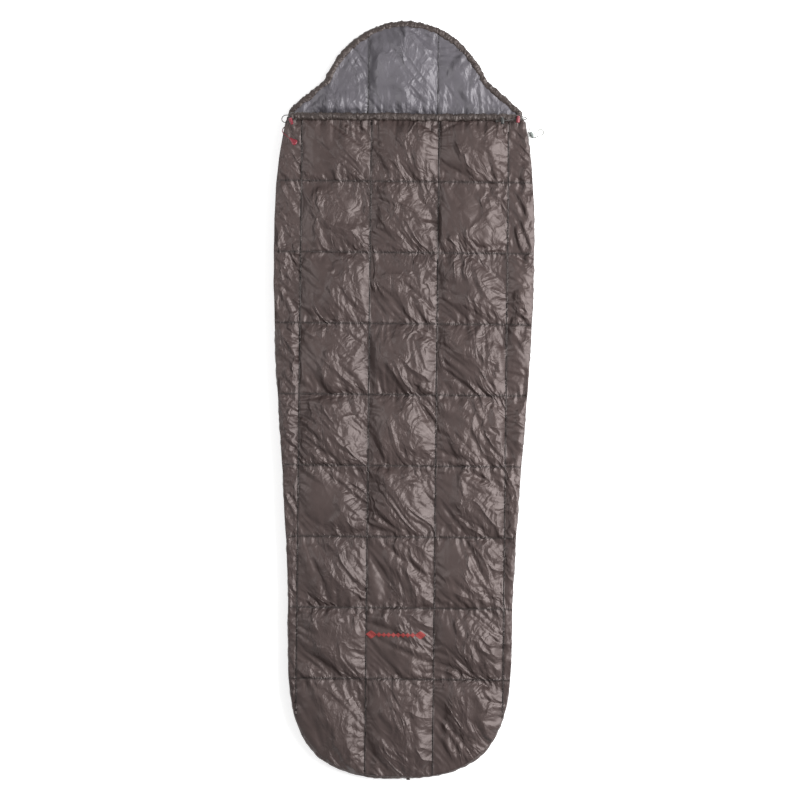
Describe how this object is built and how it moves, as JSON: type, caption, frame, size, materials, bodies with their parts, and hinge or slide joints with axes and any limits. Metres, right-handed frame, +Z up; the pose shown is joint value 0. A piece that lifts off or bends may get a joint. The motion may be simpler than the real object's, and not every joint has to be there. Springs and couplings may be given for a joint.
{
  "type": "mummy sleeping bag",
  "caption": "Quilted mummy sleeping bag lying flat, with a drawcord hood, a side zipper and a corner that turns down to open it.",
  "frame": {"origin": "centre of the bag's footprint, on the ground it lies on", "axes": "+Y from the foot to the hood, +Z up from the ground, +X across to the side without the zipper"},
  "size_m": [0.7551, 2.136, 0.0768],
  "materials": {
    "shell_nylon": "glossy downproof ripstop nylon",
    "lining_nylon": "glossy downproof nylon lining",
    "down": "down fill",
    "trim_fabric": "matte woven tape",
    "cord": "braided cord",
    "grey_cord": "braided elastic cord",
    "red_cord": "braided cord",
    "red_plastic": "moulded",
    "black_plastic": "moulded",
    "coil": "nylon coil",
    "slider_metal": "painted die-cast zinc",
    "spring_steel": "drawn wire",
    "embroidery": "satin-stitched thread"
  },
  "bodies": {
    "bag": {"lower_shell": "shell_nylon", "lower_fill": "down", "lower_lining": "lining_nylon", "upper_shell": "shell_nylon", "upper_fill": "down", "upper_lining": "lining_nylon", "right_gusset": "shell_nylon", "left_gusset": "shell_nylon", "foot_gusset": "shell_nylon", "draft_tube": "lining_nylon", "emblem": "embroidery", "foot_loop": "trim_fabric", "neck_tunnel_end": "trim_fabric", "zipper_tape_lower": "trim_fabric", "zipper_coil_lower": "coil", "zipper_bottom_stop": "slider_metal", "right_lock_body": "red_plastic", "right_lock_spring": "spring_steel", "hood_cord": "cord", "hood_cord_knot": "cord", "neck_lock_body": "black_plastic", "neck_lock_spring": "spring_steel", "tail_lock_body": "black_plastic", "tail_lock_spring": "spring_steel", "tail_cord": "grey_cord", "tail_knot": "grey_cord"},
    "flap": {"flap_shell": "shell_nylon", "flap_fill": "down", "flap_lining": "lining_nylon", "neck_tunnel": "trim_fabric", "neck_drawcord": "cord", "zipper_tape_upper": "trim_fabric", "zipper_coil_upper": "coil", "zipper_top_stop": "slider_metal", "left_lock_body": "red_plastic", "left_lock_spring": "spring_steel", "left_cord": "cord", "left_knot": "cord"},
    "hood": {"hood_shell": "shell_nylon", "hood_fill": "down", "hood_lining": "lining_nylon", "hood_tunnel": "trim_fabric", "hood_drawcord": "cord"},
    "slider": {"slider_body": "slider_metal"},
    "pull": {"pull_bail": "slider_metal", "pull_cord": "red_cord", "pull_tab": "red_plastic"},
    "left_button": {"left_lock_button": "red_plastic"},
    "right_button": {"right_lock_button": "red_plastic"},
    "neck_button": {"neck_lock_button": "black_plastic"},
    "tail_button": {"tail_lock_button": "black_plastic"}
  },
  "joints": [
    {"name": "flap_fold", "type": "hinge", "parent": "bag", "child": "flap", "pos_m": [0.245, 0.8, 0.066], "axis": [0.7071, 0.7071, 0], "range_deg": [0, 165]},
    {"name": "hood_lift", "type": "hinge", "parent": "bag", "child": "hood", "pos_m": [0, 0.8, 0.024], "axis": [1, 0, 0], "range_deg": [0, 75]},
    {"name": "zipper_slide", "type": "slide", "parent": "bag", "child": "slider", "axis": [-0.041, -0.9992, 0], "range_m": [0, 0.56]},
    {"name": "pull_swing", "type": "hinge", "parent": "slider", "child": "pull", "pos_m": [-0.33168, 0.78327, 0.033], "axis": [0, 0, -1], "range_deg": [0, 50]},
    {"name": "left_press", "type": "slide", "parent": "flap", "child": "left_button", "axis": [-0.342, 0.9397, 0], "range_m": [0, 0.0016], "stiffness_N_per_m": 400, "springref_m": -0.002, "deforming": ["left_lock_spring"]},
    {"name": "right_press", "type": "slide", "parent": "bag", "child": "right_button", "axis": [-0.0872, -0.9962, 0], "range_m": [0, 0.0016], "stiffness_N_per_m": 400, "springref_m": -0.002, "deforming": ["right_lock_spring"]},
    {"name": "neck_press", "type": "slide", "parent": "bag", "child": "neck_button", "axis": [0.0872, -0.9962, 0], "range_m": [0, 0.0016], "stiffness_N_per_m": 400, "springref_m": -0.002, "deforming": ["neck_lock_spring"]},
    {"name": "tail_press", "type": "slide", "parent": "bag", "child": "tail_button", "axis": [-0.4384, 0.8988, 0], "range_m": [0, 0.0016], "stiffness_N_per_m": 400, "springref_m": -0.002, "deforming": ["tail_lock_spring"]}
  ],
  "couplings": [
    {"joint": "zipper_slide", "follows": "flap_fold", "m_per_rad": 0.19446},
    {"joint": "pull_swing", "follows": "flap_fold", "ratio": 0.30303}
  ]
}
